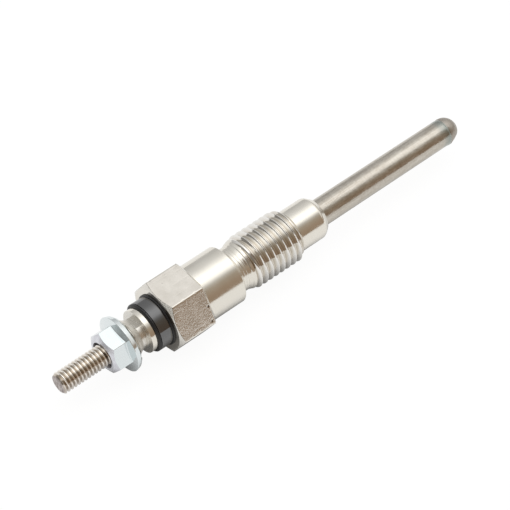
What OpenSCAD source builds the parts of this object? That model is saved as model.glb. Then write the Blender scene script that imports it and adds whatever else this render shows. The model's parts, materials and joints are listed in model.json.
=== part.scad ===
// Diesel glow plug with a sheathed heater, lying on one flat of its hexagon.
// The axis is +X, from the terminal to the heater's tip. The origin is on that axis,
// at the outboard end of the full body thread. A free thread is a plain cylinder at its major
// diameter. Where the terminal nut engages it, the rolled thread is at the diameter of its rod.

/* [Housing] */
// Width across the flats of the spanner hexagon
hex_af = 11.9; // [11:0.1:15]
// Length of the hexagon along the axis
hex_len = 7.2; // [5:0.1:12]
// Amount by which the outboard face's circle is smaller than the width across flats
hex_face_trim = 0.3; // [0:0.1:1]
// Amount by which the inboard face's circle is larger than the width across flats
hex_back_trim = 0.3; // [0:0.1:1]
// Angle between a hexagon chamfer and the faces it trims
hex_chamfer_angle = 30; // [15:1:45]
// Diameter of the round shank
shank_d = 10.7; // [10:0.1:11]
// Length of the shank with its end cone
shank_len = 8.3; // [4:0.1:20]
// Diameter of the relief groove beside the thread
relief_d = 8.3; // [7:0.1:9]
// Length of the relief groove
relief_len = 1.5; // [0.5:0.1:3]
// Length over which the body thread rises to its full diameter
run_in_len = 1.6; // [0.5:0.1:3]
// Major diameter of the body thread
thread_d = 9.85; // [9.3:0.05:10]
// Length of the full body thread
thread_len = 9.2; // [5:0.1:30]
// Diameter of the plain pilot
pilot_d = 7.85; // [7.2:0.05:9]
// Length of the pilot with its seat cone
pilot_len = 5.9; // [3:0.1:20]
// Diameter of the seat cone's small end
seat_d = 6.3; // [6:0.1:7]
// Length of the seat cone
seat_len = 0.8; // [0.3:0.1:2]
// Radius that softens the two edges of the seat cone
seat_round = 0.25; // [0.05:0.05:0.3]

/* [Heater tube] */
// Outside diameter of the heater tube
tube_d = 4.95; // [4.6:0.05:5.4]
// Wall of the heater tube
tube_wall = 0.6; // [0.3:0.05:0.8]
// Length of the tube that stands out of the housing
tube_free = 32.75; // [24:0.25:60]
// Length of the tube that is pressed into the housing
tube_seated = 20; // [12:0.5:24]
// Length of the seal in the tube's mouth
seal_len = 2.5; // [1:0.1:4]
// Depth of the crease that the tip's weld leaves round the tube
weld_depth = 0.07; // [0.02:0.01:0.1]
// Radius of the crease's section
weld_r = 0.4; // [0.2:0.05:0.6]
// Distance from the crease to the start of the round tip
weld_back = 0.3; // [0.1:0.05:1]

/* [Coils] */
// Diameter of the resistance wire
wire_d = 0.4; // [0.2:0.05:0.5]
// Mean diameter of both coils
coil_d = 2.2; // [1.6:0.1:2.4]
// Length of the heating coil with its two legs
heating_len = 13; // [8:0.5:14]
// Turns of the heating coil
heating_turns = 11; // [6:1:14]
// Length of the regulating coil with its two legs
regulating_len = 15; // [8:0.5:16]
// Turns of the regulating coil
regulating_turns = 16; // [8:1:18]
// Turns over which a coil closes in to the axis at each leg
leg_turns = 1.5; // [1:0.5:2.5]

/* [Centre electrode] */
// Major diameter of the terminal thread
stud_d = 3.9; // [3.6:0.05:4.2]
// Length of the terminal thread beyond the nut
stud_free = 9; // [4:0.1:20]
// Chamfer at the end of the terminal thread
stud_chamfer = 0.35; // [0.1:0.05:0.6]
// Diameter of the rod under the nut and inside the housing
rod_d = 3.5; // [3:0.05:3.8]
// Diameter of the rod's end inside the tube
rod_end_d = 2.2; // [1.6:0.1:2.8]
// Distance from the rod's step to the tube's mouth
rod_step = 0.6; // [0.2:0.1:2]

/* [Insulator] */
// Diameter of the insulator's barrel
insulator_d = 9.05; // [8.2:0.05:9.6]
// Length of the insulator outside the housing
insulator_free = 3.05; // [2:0.05:8]
// Length of the lip in front of the groove
insulator_lip = 0.35; // [0.2:0.05:0.6]
// Depth of the groove behind the lip
insulator_groove = 0.25; // [0.1:0.05:0.5]
// Width of the groove behind the lip
insulator_groove_w = 0.25; // [0.1:0.05:0.5]
// Height of the rim that bears on the housing above the barrel
insulator_rim = 0.15; // [0.05:0.05:0.3]
// Length of that rim
insulator_rim_len = 0.45; // [0.2:0.05:1]
// Diameter of the insulator's spigot and of the counterbore that holds it
spigot_d = 7; // [6:0.1:7.6]
// Length of the spigot
spigot_len = 4; // [2:0.1:5]

/* [Terminal collar] */
// Diameter of the ring that bears on the insulator
ring_d = 8.05; // [7:0.05:9]
// Thickness of that ring
ring_len = 1; // [0.5:0.1:2]
// Diameter of the waist
waist_d = 5.6; // [5:0.1:6.4]
// Length of the waist
waist_len = 1.55; // [1:0.05:4]
// Diameter of the flared outboard end
flare_d = 7.3; // [6.5:0.1:8]
// Length of the flare
flare_len = 0.9; // [0.5:0.05:1.5]
// Length of the plain edge in front of the flare
flare_edge = 0.1; // [0.05:0.05:0.3]
// Number of crimp flats round the waist
crimps = 2; // [2:1:4]
// Wall that a crimp leaves round the rod
crimp_wall = 0.45; // [0.2:0.05:0.7]
// Turn of the first crimp away from the top
crimp_turn = -18; // [-90:1:90]

/* [Terminal nut] */
// Width across the flats of the nut
nut_af = 7; // [6.5:0.1:8]
// Height of the nut with its flange
nut_h = 4.4; // [3.6:0.1:6]
// Amount by which the nut's front face is smaller than its width across flats
nut_face_trim = 1.1; // [0.2:0.1:1.6]
// Angle of the chamfer round the nut's front face
nut_chamfer_angle = 33; // [15:1:45]
// Depth of the countersink at each end of the nut, outside the terminal thread
nut_countersink = 0.3; // [0.1:0.05:0.5]
// Diameter of the nut's flange
flange_d = 10.4; // [9:0.1:12]
// Thickness of the flange at its rim
flange_rim = 1.1; // [0.6:0.05:1.4]
// Amount by which the rim's radius narrows towards the bearing face
flange_taper = 0.35; // [0.1:0.05:0.6]
// Rise of the flange from its rim to the hexagon
flange_rise = 0.37; // [0.1:0.01:0.8]
// Number of teeth on the flange's bearing face
teeth = 12; // [8:1:20]
// Height of the step between two teeth
tooth_depth = 0.32; // [0.1:0.02:0.5]
// Diameter inside which the bearing face stays plain
tooth_in_d = 6; // [5:0.1:7]
// Turn of the first tooth against the nut's hexagon
tooth_turn = 26; // [0:1:45]
// Turn of the nut against the housing's hexagon
nut_turn = 6; // [0:1:59]
// Gap between the nut and the collar
nut_gap = 0.5; // [0.1:0.1:3]

/* [Fits] */
// Radial gap of the pressed and swaged pieces
press_gap = 0.01; // [0.005:0.005:0.02]
// Radial gap of the pieces that are pushed together
slide_gap = 0.05; // [0.02:0.01:0.1]
// Radial gap between the wire and its packed powder
wire_gap = 0.05; // [0.02:0.01:0.08]
// Radial air gap that insulates the rod from the housing
rod_gap = 0.6; // [0.3:0.05:0.7]

/* [Hidden] */
$fn = 96;

// Sides of the wire, and rings in one turn of a coil
wire_sides = 6;
turn_rings = 16;

// Overshoot of a cut past the face that it opens, and margin of a trim outside a hexagon's corners
over = 1;
margin = 0.1;

// Stations of the housing along the axis
relief_x = -run_in_len - relief_len;
hex_back_x = relief_x - shank_len;
hex_front_x = hex_back_x - hex_len;
shank_cone = (shank_d - relief_d) / 2;
pilot_x = thread_len + (thread_d - pilot_d) / 2;
pilot_end_x = pilot_x + pilot_len;

// Stations of the terminal end, from the hexagon outwards
collar_back_x = hex_front_x - insulator_free;
ring_x = collar_back_x - ring_len;
waist_x = ring_x - waist_len;
flare_x = waist_x - flare_len;
collar_front_x = flare_x - flare_edge;
nut_back_x = collar_front_x - nut_gap;
nut_front_x = nut_back_x - nut_h;
stud_end_x = nut_front_x - stud_free;

// Stations of the heater
tube_mouth_x = pilot_end_x - tube_seated;
tip_end_x = pilot_end_x + tube_free;
tip_x = tip_end_x - tube_d / 2;
tube_bore_d = tube_d - 2 * tube_wall;
tube_floor_x = tip_x;
heating_x = tube_floor_x - heating_len;
regulating_x = heating_x - regulating_len;

// The rod steps down to its end outside the tube, and a seal fills the tube's mouth
rod_step_x = tube_mouth_x - rod_step;
seal_x = tube_mouth_x + seal_len;

// The O-ring lies between the spigot and the counterbore's floor
bore_d = spigot_d + 2 * slide_gap;
o_ring_cord = (bore_d - rod_d) / 2 - 2 * press_gap;
spigot_end_x = hex_front_x + spigot_len;
counterbore_x = spigot_end_x + o_ring_cord + slide_gap;
rod_clear_d = rod_d + 2 * rod_gap;

// The nut, the collar and the insulator share one bore on the rod
rod_bore_d = rod_d + 2 * slide_gap;
crimp_flat = rod_bore_d / 2 + crimp_wall;

coil_out_d = coil_d + wire_d + 2 * wire_gap;
coil_in_d = coil_d - wire_d - 2 * wire_gap;

nickel = [0.80, 0.78, 0.74];
zinc = [0.82, 0.86, 0.90];
heat_steel = [0.58, 0.55, 0.51];
phenolic = [0.06, 0.06, 0.07];
rubber = [0.10, 0.10, 0.11];
powder = [0.90, 0.88, 0.83];
wire = [0.45, 0.42, 0.40];

// Turns a profile of [radius, station] points round the plug's axis
module turned(profile) {
    rotate([0, 90, 0])
        rotate_extrude()
            polygon(profile);
}

// A round hole or rod along the axis
module round_bar(d, x0, x1) {
    translate([x0, 0, 0])
        rotate([0, 90, 0])
            cylinder(d = d, h = x1 - x0);
}

function corner_d(af) = 2 * af / sqrt(3);

// A hexagonal prism along the axis, with flats above and below. Chamfers trim its corners from
// a circle on each end face
module hexagon(af, x0, x1, face0_d, face1_d, angle) {
    trim_r = corner_d(af) / 2 + margin;
    rise = tan(angle);
    intersection() {
        translate([x0, 0, 0])
            rotate([0, 90, 0])
                rotate([0, 0, 30])
                    cylinder(d = corner_d(af), h = x1 - x0, $fn = 6);
        turned([
            [0, x0],
            [face0_d / 2, x0],
            [trim_r, x0 + (trim_r - face0_d / 2) * rise],
            [trim_r, x1 - (trim_r - face1_d / 2) * rise],
            [face1_d / 2, x1],
            [0, x1]
        ]);
    }
}

// Points of a round corner of radius r, turning from angle a0 to a1 about a centre
corner_steps = 4;
function corner(centre, r, a0, a1) = [
    for (i = [0:corner_steps])
        let(a = a0 + (a1 - a0) * i / corner_steps)
        centre + r * [cos(a), sin(a)]
];

// Hexagon, shank, relief, thread and pilot, with a seat cone at the inboard end
module housing_outside() {
    cone_run = pilot_d / 2 - seat_d / 2;
    cone_angle = atan2(seat_len, cone_run);
    seat_trim = seat_round * tan((90 - cone_angle) / 2);
    end_trim = seat_round * tan(cone_angle / 2);
    hexagon(hex_af, hex_front_x, hex_back_x, hex_af - hex_face_trim, hex_af + hex_back_trim,
        hex_chamfer_angle);
    turned(concat(
        [
            [0, hex_back_x - hex_len / 2],
            [shank_d / 2, hex_back_x - hex_len / 2],
            [shank_d / 2, relief_x - shank_cone],
            [relief_d / 2, relief_x],
            [relief_d / 2, relief_x + relief_len],
            [thread_d / 2, 0],
            [thread_d / 2, thread_len],
            [pilot_d / 2, pilot_x]
        ],
        corner([pilot_d / 2 - seat_round, pilot_end_x - seat_len - seat_trim], seat_round,
            0, 90 - cone_angle),
        corner([seat_d / 2 - end_trim, pilot_end_x - seat_round], seat_round, 90 - cone_angle, 90),
        [[0, pilot_end_x]]
    ));
}

// Housing with a counterbore for the insulator, an air gap round the rod and a bore for the tube
module housing() {
    color(nickel)
    difference() {
        housing_outside();
        round_bar(bore_d, hex_front_x - over, counterbore_x);
        round_bar(rod_clear_d, hex_front_x, tube_mouth_x + margin);
        round_bar(tube_d + 2 * press_gap, tube_mouth_x, pilot_end_x + over);
    }
}

// Closed tube with a weld crease and a round tip
module heater_tube() {
    color(heat_steel)
    difference() {
        union() {
            round_bar(tube_d, tube_mouth_x, tip_x);
            translate([tip_x, 0, 0])
                sphere(d = tube_d);
        }
        round_bar(tube_bore_d, tube_mouth_x - over, tube_floor_x);
        translate([tip_x - weld_back, 0, 0])
            rotate([0, 90, 0])
                rotate_extrude()
                    translate([tube_d / 2 - weld_depth + weld_r, 0])
                        circle(r = weld_r);
    }
}

function smooth(u) = u * u * (3 - 2 * u);

// Centre of a coil's wire after some turns: its radius closes to nothing at both legs
function coil_radius(turn, turns) =
    coil_d / 2 * smooth(min(1, turn / leg_turns, (turns - turn) / leg_turns));
function coil_point(turn, turns, len) = [
    coil_radius(turn, turns) * cos(360 * turn),
    coil_radius(turn, turns) * sin(360 * turn),
    len * turn / turns
];

function unit(v) = v / norm(v);

// One ring of points round the wire, square to its path
function coil_ring(turn, turns, len) =
    let(
        step = 0.01,
        ahead = coil_point(min(turn + step, turns), turns, len),
        behind = coil_point(max(turn - step, 0), turns, len),
        at_leg = turn == 0 || turn == turns,
        along = at_leg ? [0, 0, 1] : unit(ahead - behind),
        outward = [cos(360 * turn), sin(360 * turn), 0],
        side = unit(outward - (outward * along) * along),
        across = cross(along, side)
    )
    [for (k = [0:wire_sides - 1])
        coil_point(turn, turns, len)
            + wire_d / 2 * (cos(360 * k / wire_sides) * side + sin(360 * k / wire_sides) * across)];

// A helix of wire along the axis, from leg to leg
module coil(x, turns, len) {
    rings = turns * turn_rings;
    last = rings * wire_sides;
    points = [for (i = [0:rings]) each coil_ring(i / turn_rings, turns, len)];
    walls = [for (i = [0:rings - 1], k = [0:wire_sides - 1])
        let(a = i * wire_sides, b = a + wire_sides, n = (k + 1) % wire_sides)
        each [[a + k, b + k, b + n], [a + k, b + n, a + n]]];
    start_cap = [[for (k = [0:wire_sides - 1]) k]];
    end_cap = [[for (k = [wire_sides - 1:-1:0]) last + k]];
    translate([x, 0, 0])
        rotate([0, 90, 0])
            polyhedron(points, concat(walls, start_cap, end_cap));
}

// Coil that heats the tip
module heating_coil() {
    color(wire)
        coil(heating_x, heating_turns, heating_len);
}

// Coil that limits the current as it warms
module regulating_coil() {
    color(wire)
        coil(regulating_x, regulating_turns, regulating_len);
}

// Packed powder: a sleeve round the electrode and the coils, and a core inside each coil
module magnesia_filling() {
    fill_r = tube_bore_d / 2 - press_gap;
    heating_leg = heating_len * leg_turns / heating_turns;
    regulating_leg = regulating_len * leg_turns / regulating_turns;
    color(powder) {
        turned([
            [rod_end_d / 2 + press_gap, seal_x],
            [fill_r, seal_x],
            [fill_r, tube_floor_x],
            [coil_out_d / 2, tube_floor_x],
            [coil_out_d / 2, regulating_x],
            [rod_end_d / 2 + press_gap, regulating_x]
        ]);
        round_bar(coil_in_d, heating_x + heating_leg, tube_floor_x - heating_leg);
        round_bar(coil_in_d, regulating_x + regulating_leg, heating_x - regulating_leg);
    }
}

// Ring that closes the mouth of the tube round the electrode
module tube_seal() {
    color(rubber)
    difference() {
        round_bar(tube_bore_d - 2 * press_gap, tube_mouth_x, seal_x);
        round_bar(rod_end_d + 2 * press_gap, tube_mouth_x - over, seal_x + over);
    }
}

// Rod with the terminal thread at one end, stepped down to the regulating coil at the other
module centre_electrode() {
    color(nickel)
        turned([
            [0, stud_end_x],
            [stud_d / 2 - stud_chamfer, stud_end_x],
            [stud_d / 2, stud_end_x + stud_chamfer],
            [stud_d / 2, nut_front_x],
            [rod_d / 2, nut_front_x],
            [rod_d / 2, rod_step_x - (rod_d - rod_end_d) / 2],
            [rod_end_d / 2, rod_step_x],
            [rod_end_d / 2, regulating_x],
            [0, regulating_x]
        ]);
}

// Ring that seals the rod in the housing's counterbore
module o_ring() {
    color(rubber)
        translate([spigot_end_x + o_ring_cord / 2 + slide_gap / 2, 0, 0])
            rotate([0, 90, 0])
                rotate_extrude()
                    translate([(bore_d + rod_d) / 4, 0])
                        circle(d = o_ring_cord);
}

// Barrel with a grooved lip in front, a rim behind, and a spigot that centres it in the housing
module insulator_bushing() {
    groove_x = collar_back_x + insulator_lip;
    barrel_x = groove_x + insulator_groove_w;
    rim_x = hex_front_x - insulator_rim_len;
    barrel_r = insulator_d / 2;
    color(phenolic)
    difference() {
        turned([
            [0, collar_back_x],
            [barrel_r - insulator_groove, collar_back_x],
            [barrel_r, collar_back_x + insulator_groove],
            [barrel_r, groove_x],
            [barrel_r - insulator_groove, groove_x],
            [barrel_r - insulator_groove, barrel_x],
            [barrel_r, barrel_x],
            [barrel_r, rim_x],
            [barrel_r + insulator_rim, rim_x],
            [barrel_r + insulator_rim, hex_front_x],
            [spigot_d / 2, hex_front_x],
            [spigot_d / 2, spigot_end_x],
            [0, spigot_end_x]
        ]);
        round_bar(rod_bore_d, collar_back_x - over, spigot_end_x + over);
    }
}

// Spool that clamps the insulator and is crimped to the rod
module terminal_collar() {
    color(nickel)
    difference() {
        turned([
            [0, collar_front_x],
            [flare_d / 2, collar_front_x],
            [flare_d / 2, flare_x],
            [waist_d / 2, waist_x],
            [waist_d / 2, ring_x],
            [ring_d / 2, ring_x],
            [ring_d / 2, collar_back_x],
            [0, collar_back_x]
        ]);
        round_bar(rod_bore_d, collar_front_x - over, collar_back_x + over);
        for (i = [0:crimps - 1])
            rotate([crimp_turn + 360 * i / crimps, 0, 0])
                translate([waist_x, -waist_d / 2, crimp_flat])
                    cube([waist_len, waist_d, waist_d / 2]);
    }
}

// Ramps that cut the flange's bearing face into a ratchet of teeth
module tooth_ramps() {
    ramp_len = flange_d / 2 * sin(360 / teeth);
    for (i = [0:teeth - 1])
        rotate([tooth_turn + 360 * i / teeth, 0, 0])
            translate([0, 0, tooth_in_d / 2])
                linear_extrude(flange_d / 2)
                    polygon([
                        [nut_back_x - tooth_depth, 0],
                        [nut_back_x, ramp_len],
                        [nut_back_x + over, ramp_len],
                        [nut_back_x + over, 0]
                    ]);
}

// Hexagon nut on a conical flange with a toothed bearing face, countersunk at both ends
module terminal_nut() {
    rim_x = nut_back_x - flange_rim;
    hex_x = rim_x - flange_rise;
    sink_r = stud_d / 2 + nut_countersink;
    color(zinc)
    rotate([nut_turn, 0, 0])
    difference() {
        union() {
            hexagon(nut_af, nut_front_x, rim_x, nut_af - nut_face_trim, corner_d(nut_af),
                nut_chamfer_angle);
            turned([
                [0, hex_x],
                [nut_af / 2, hex_x],
                [flange_d / 2, rim_x],
                [flange_d / 2 - flange_taper, nut_back_x],
                [0, nut_back_x]
            ]);
        }
        round_bar(rod_bore_d, nut_front_x - over, nut_back_x + over);
        turned([[0, nut_front_x], [sink_r, nut_front_x], [0, nut_front_x + sink_r]]);
        turned([[0, nut_back_x], [sink_r, nut_back_x], [0, nut_back_x - sink_r]]);
        tooth_ramps();
    }
}

housing();
heater_tube();
heating_coil();
regulating_coil();
magnesia_filling();
tube_seal();
centre_electrode();
o_ring();
insulator_bushing();
terminal_collar();
terminal_nut();
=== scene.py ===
"""Looks of a diesel glow plug: turned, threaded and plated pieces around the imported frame."""
import json
import math

import bmesh
import bpy
import numpy as np
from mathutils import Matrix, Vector, noise


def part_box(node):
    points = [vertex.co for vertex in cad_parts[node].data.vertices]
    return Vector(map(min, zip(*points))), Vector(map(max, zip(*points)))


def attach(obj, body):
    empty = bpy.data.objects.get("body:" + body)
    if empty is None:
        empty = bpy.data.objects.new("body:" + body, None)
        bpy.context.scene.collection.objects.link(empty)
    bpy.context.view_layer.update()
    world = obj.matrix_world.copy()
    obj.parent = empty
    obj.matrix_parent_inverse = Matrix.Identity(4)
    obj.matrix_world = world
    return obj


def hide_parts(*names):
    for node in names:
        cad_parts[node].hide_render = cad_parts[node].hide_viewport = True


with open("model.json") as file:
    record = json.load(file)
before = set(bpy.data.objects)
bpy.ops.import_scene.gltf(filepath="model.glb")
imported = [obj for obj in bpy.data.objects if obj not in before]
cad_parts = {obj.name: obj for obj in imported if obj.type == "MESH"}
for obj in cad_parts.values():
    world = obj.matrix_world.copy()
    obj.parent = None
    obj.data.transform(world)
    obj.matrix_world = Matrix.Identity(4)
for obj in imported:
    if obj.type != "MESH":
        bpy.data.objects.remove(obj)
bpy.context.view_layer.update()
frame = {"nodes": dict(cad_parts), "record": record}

# Sizes are in millimetres in the plug's own frame: x along the axis, r out from it.
MM = 0.001
TURN = 2 * math.pi

# Fineness of the meshes
ARC_STEPS = 4
ARC_POINTS = ARC_STEPS + 1
ARC_ROOM = 0.45
THREAD_STEPS = 3
FLAT_ROWS = 48
WELD_ROWS = 13
DOME_ROWS = 24
FACE_RINGS = 13
TUBE_COLUMNS = 144
STUD_COLUMNS = 96
INSULATOR_COLUMNS = 144
COLLAR_COLUMNS = 180
SMOOTH_ANGLE = math.radians(38)

# Camera fitted to the photograph, as angles in degrees and distances in millimetres
VIEW_AZIMUTH = -40.31
VIEW_ELEVATION = 50.73
VIEW_DISTANCE = 375.1
VIEW_ANGLE = 13.12
VIEW_TARGET = (2.56, 0.0, 0.07)

# Floor: its size, its own light, the share of it that is seen and mirrored, and the reach of its painted
# shade near the plug
FLOOR_SIZE = 6000.0
FLOOR_GLOW = 1.04
GLOW_SEEN = 0.90
GLOW_MIRRORED = 0.80
CONTACT_REACH = 12.0

# Angles from the camera's direction, in degrees, between which the sky turns dark
CAMERA_SHADE = (24, 10)


def view_direction():
    """Way from the plug to the camera."""
    azimuth = math.radians(VIEW_AZIMUTH)
    elevation = math.radians(VIEW_ELEVATION)
    level = math.cos(elevation)
    return Vector((math.sin(azimuth) * level, -math.cos(azimuth) * level, math.sin(elevation)))


def span(node):
    """Lowest and highest x of a CAD node."""
    low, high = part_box(node)
    return low.x / MM, high.x / MM


def mount(name):
    """One of the record's mounts."""
    return next(m for m in frame["record"]["mounts"] if m["name"] == name)


# Stations and radii that the frame gives
FLOOR_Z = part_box("housing")[0].z / MM
HEX_FRONT, PILOT_END = span("housing")
HEX_FLAT = -FLOOR_Z
THREAD_R = mount("engine_thread")["dims"]["r_mm"]
THREAD_LEN = mount("engine_thread")["dims"]["length_mm"]
STUD_R = mount("terminal_thread")["dims"]["r_mm"]
STUD_END, ROD_END = span("centre_electrode")
NUT_FRONT, NUT_BACK = span("terminal_nut")
COLLAR_FRONT, COLLAR_BACK = span("terminal_collar")
INSULATOR_FRONT, SPIGOT_END = span("insulator_bushing")
TUBE_MOUTH, TIP_END = span("heater_tube")

# Hexagon
HEX_LEN = 7.2
HEX_FACE_R = 5.8
HEX_BACK_R = 6.1
HEX_CHAMFER = math.tan(math.radians(30))
BACK_EDGE = 0.38
BACK_LIP = 0.15
HEX_CORNER = 0.32
HEX_BACK = HEX_FRONT + HEX_LEN + BACK_LIP
DINT_DEPTH = 0.35
DINT_SPREAD = math.radians(1.2)
DINT_SCALE = 1.3
DINT_LEVEL = 0.22

# Nicks on the lower front flat, by their distances from its back edge and down from its middle
NICKS = ((0.58, 0.0), (0.95, 2.7))
NICK_CORE = 0.28
NICK_EDGE = 0.46
NICK_RAGGED = 0.25

# Shank and relief
SHANK_R = 5.35
RELIEF_R = 4.15
SHANK_END = -3.9
SHANK_CONE = 0.8
RUN_IN = 1.75
RUN_IN_END = 0.3
RING_MARKS = (-2.55, -2.0)
CONE_MARKS = (-1.3,)
MARK_WIDTH = 0.22
MARK_DEPTH = 0.05

# Body thread, pilot, seat and bores
PITCH = 1.25
THREAD_START = 0.11
THREAD_ROOT_R = 4.2
THREAD_X = -0.75
THREAD_RAMP = 0.5
CREST_WIDTH = 0.08
CREST_ROUND = 0.03
ROOT_ROUND = 0.2
FLANK_ANGLE = math.radians(35.5)
PILOT_R = 3.925
PILOT_X = THREAD_LEN + THREAD_R - PILOT_R
SEAT_R = 3.15
SEAT_LEN = 0.8
SEAT_ROUND = 1.1
SEAT_LIP = 0.25
COUNTERBORE_R = 3.55
O_RING_ROOM = 1.83
COUNTERBORE_END = SPIGOT_END + O_RING_ROOM
ROD_CLEAR_R = 2.35
TUBE_BORE_R = 2.485

# Heater tube
TUBE_R = 2.475
TIP_R = 2.445
TUBE_WALL = 0.6
TIP_LEN = 2.75
WELD_X = TIP_END - TIP_LEN
WELD_DEPTH = 0.07
WELD_HALF = 0.3
TAPER_END = WELD_X - 1.2
UPSET_X = WELD_X - 0.7
UPSET_RISE = 0.015
NIB_RISE = 0.17
NIB_LEN = 0.35
NIB_WIDTH = 0.5
NIB_ANGLE = math.radians(212)
DENT_X = WELD_X + 1.4
DENT_DEPTH = 0.2
DENT_LEN = 0.8
DENT_TURN = 0.7

# Stud and rod
STUD_PITCH = 0.7
STUD_START = 0.32
STUD_FACE_R = 1.62
STUD_ROOT_R = 1.6
STUD_CREST = 0.14
STUD_CREST_ROUND = 0.04
STUD_ROOT_ROUND = 0.1
TEAR_COARSE = 0.10
TEAR_COARSE_SCALE = 1.1
TEAR_FINE = 0.05
TEAR_FINE_SCALE = 3.7
TEAR_DISH = 0.05
ROD_R = 1.75
ROD_END_R = 1.1
ROD_NECK = TUBE_MOUTH - 0.6
RUN_OUT_SLOPE = 0.7

# Nut
NUT_FLAT = 3.5
NUT_TURN = math.radians(6)
NUT_CORNER = 0.12
NUT_FACE_R = 2.95
NUT_CHAMFER = math.tan(math.radians(33))
BORE_R = 2.0
SINK_RISE = 0.45
SINK_LEN = 0.7
BACK_SINK_RISE = 0.25
BACK_SINK_LEN = 0.3
FLANGE_R = 5.2
FLANGE_RIM = 0.95
FLANGE_EDGE = 0.85
FLANGE_EDGE_R = 4.95
FLANGE_BACK_R = 4.4
FLANGE_REACH = 0.42
FLANGE_RISE = 0.37
TEETH = 12
TOOTH_STEP = 0.08
TOOTH_MID_R = 3.6
TOOTH_ROOT_R = 3.0
TOOTH_DEPTH = 0.32
TOOTH_TURN = math.radians(122)

# Insulator
BARREL_R = 4.525
RIM_R = 4.78
RIM_LEN = 0.36
RIM_GROOVE = 0.08
LIP_LEN = 0.42
LIP_BEVEL = 0.25
LIP_GROOVE = 0.16
ROD_HOLE_R = 1.8
SPIGOT_R = 3.5

# Collar
RING_R = 4.025
RING_LEN = 1.0
WAIST_R = 2.8
WAIST_LEN = 1.15
FLARE_R = 3.8
FLARE_EDGE = 0.1
FLARE_NECK = 0.4
FLARE_NECK_R = 3.5
CRIMP_LIP = 0.02
CRIMP_LIP_RISE = 0.1
CRIMP_STEP = 0.06
CRIMP_FLAT = 2.25
CRIMP_ANGLE = math.radians(72)


# Outlines

def soften(corners, closed=False, steps=ARC_STEPS):
    """Points of an outline of (x, r, fillet) corners, each rounded by an arc of its fillet."""
    points = []
    count = len(corners)
    for i, (x, r, fillet) in enumerate(corners):
        here = np.array([x, r])
        if fillet == 0 or (not closed and i in (0, count - 1)):
            points.append(here)
            continue
        before = np.array(corners[i - 1][:2]) - here
        after = np.array(corners[(i + 1) % count][:2]) - here
        room = ARC_ROOM * min(np.linalg.norm(before), np.linalg.norm(after))
        before /= np.linalg.norm(before)
        after /= np.linalg.norm(after)
        if before @ after < -0.99999:
            points += [here] * (steps + 1)
            continue
        half = math.acos(np.clip(before @ after, -1, 1)) / 2
        reach = min(fillet / math.tan(half), room)
        radius = reach * math.tan(half)
        middle = before + after
        centre = here + middle / np.linalg.norm(middle) * radius / math.sin(half)
        start = here + before * reach - centre
        end = here + after * reach - centre
        bend = math.pi - 2 * half
        for t in np.linspace(0, 1, steps + 1):
            arc = math.sin((1 - t) * bend) * start + math.sin(t * bend) * end
            points.append(centre + arc / math.sin(bend))
    return np.array(points)


def hex_radius(angles, flat, corner):
    """Distance from the axis to a hexagon with rounded corners, the first corner at angle 0."""
    offset = np.abs((np.asarray(angles) + math.pi / 6) % (math.pi / 3) - math.pi / 6)
    straight = flat / np.cos(math.pi / 6 - offset)
    centre = (flat - corner) / math.cos(math.pi / 6)
    inside = np.maximum(corner ** 2 - (centre * np.sin(offset)) ** 2, 0)
    rounded = math.pi / 6 - math.atan((flat - corner) * math.tan(math.pi / 6) / flat)
    return np.where(offset < rounded, centre * np.cos(offset) + np.sqrt(inside), straight)


def round_columns(count):
    """Angles of a full turn, evenly apart."""
    return np.linspace(0, TURN, count + 1)


def hex_columns(turn=0.0):
    """Angles of a full turn, closer together at the six corners of a hexagon."""
    near = np.array([0, 0.25, 0.5, 0.75, 1.1, 1.8, 3])
    away = np.arange(5, 30.1, 2.5)
    half = np.radians(np.concatenate([near, away]))
    sector = np.concatenate([-half[:0:-1], half[:-1]])
    angles = (np.arange(6)[:, None] * math.pi / 3 + sector[None, :]).ravel() + turn
    angles = np.unique(np.round(angles % TURN, 9))
    return np.append(angles, angles[0] + TURN)


# Meshes

def polar(x, r, angles):
    """Points in metres at stations x and radii r, over the columns of a grid."""
    x, r, angles = np.broadcast_arrays(x, r, angles)
    return np.stack([x, r * np.cos(angles), r * np.sin(angles)], axis=-1) * MM


def revolve(outline, angles):
    """Grid of one outline at all the angles."""
    return polar(outline[:, :1], outline[:, 1:], angles[None, :])


def sweep(outlines, angles):
    """Grid of outlines that each stand at their own angle."""
    x, r = np.array(outlines).T
    return polar(x, r, angles[None, :])


def ring_marks(stations, radius):
    """Corners of fine grooves that the lathe left at some stations of a surface radius(x)."""
    corners = []
    for x in stations:
        corners += [
            (x - MARK_WIDTH / 2, float(radius(x - MARK_WIDTH / 2)), 0.03),
            (x, float(radius(x)) - MARK_DEPTH, 0.03),
            (x + MARK_WIDTH / 2, float(radius(x + MARK_WIDTH / 2)), 0.03),
        ]
    return corners


def thread_grid(angles, x0, x1, pitch, start, outline, limit, least):
    """A right-hand thread from x0 to x1. Its rows follow the helix, so the crests stay sharp.

    start shifts the helix along the axis, outline holds (phase, r) points of one pitch, and
    limit(x) and least(x) bound r.
    """
    phase, radius = outline[:, 0], outline[:, 1]
    shift = start / pitch + angles[None, :] / TURN
    first = math.floor(x0 / pitch - shift.max()) - 1
    last = math.ceil(x1 / pitch - shift.min()) + 1
    rows = (np.arange(first, last)[:, None] + phase[None, :]).ravel()
    x = np.clip(pitch * (rows[:, None] + shift), x0, x1)
    where = x / pitch - shift
    r = np.interp(where % 1.0, phase, radius, period=1.0)
    keep = np.ones(len(rows), bool)
    keep[1:] = np.any(np.abs(np.diff(x, axis=0)) > 1e-9, axis=1)
    return polar(x, np.clip(r, least(x), limit(x)), angles[None, :])[keep]


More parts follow.
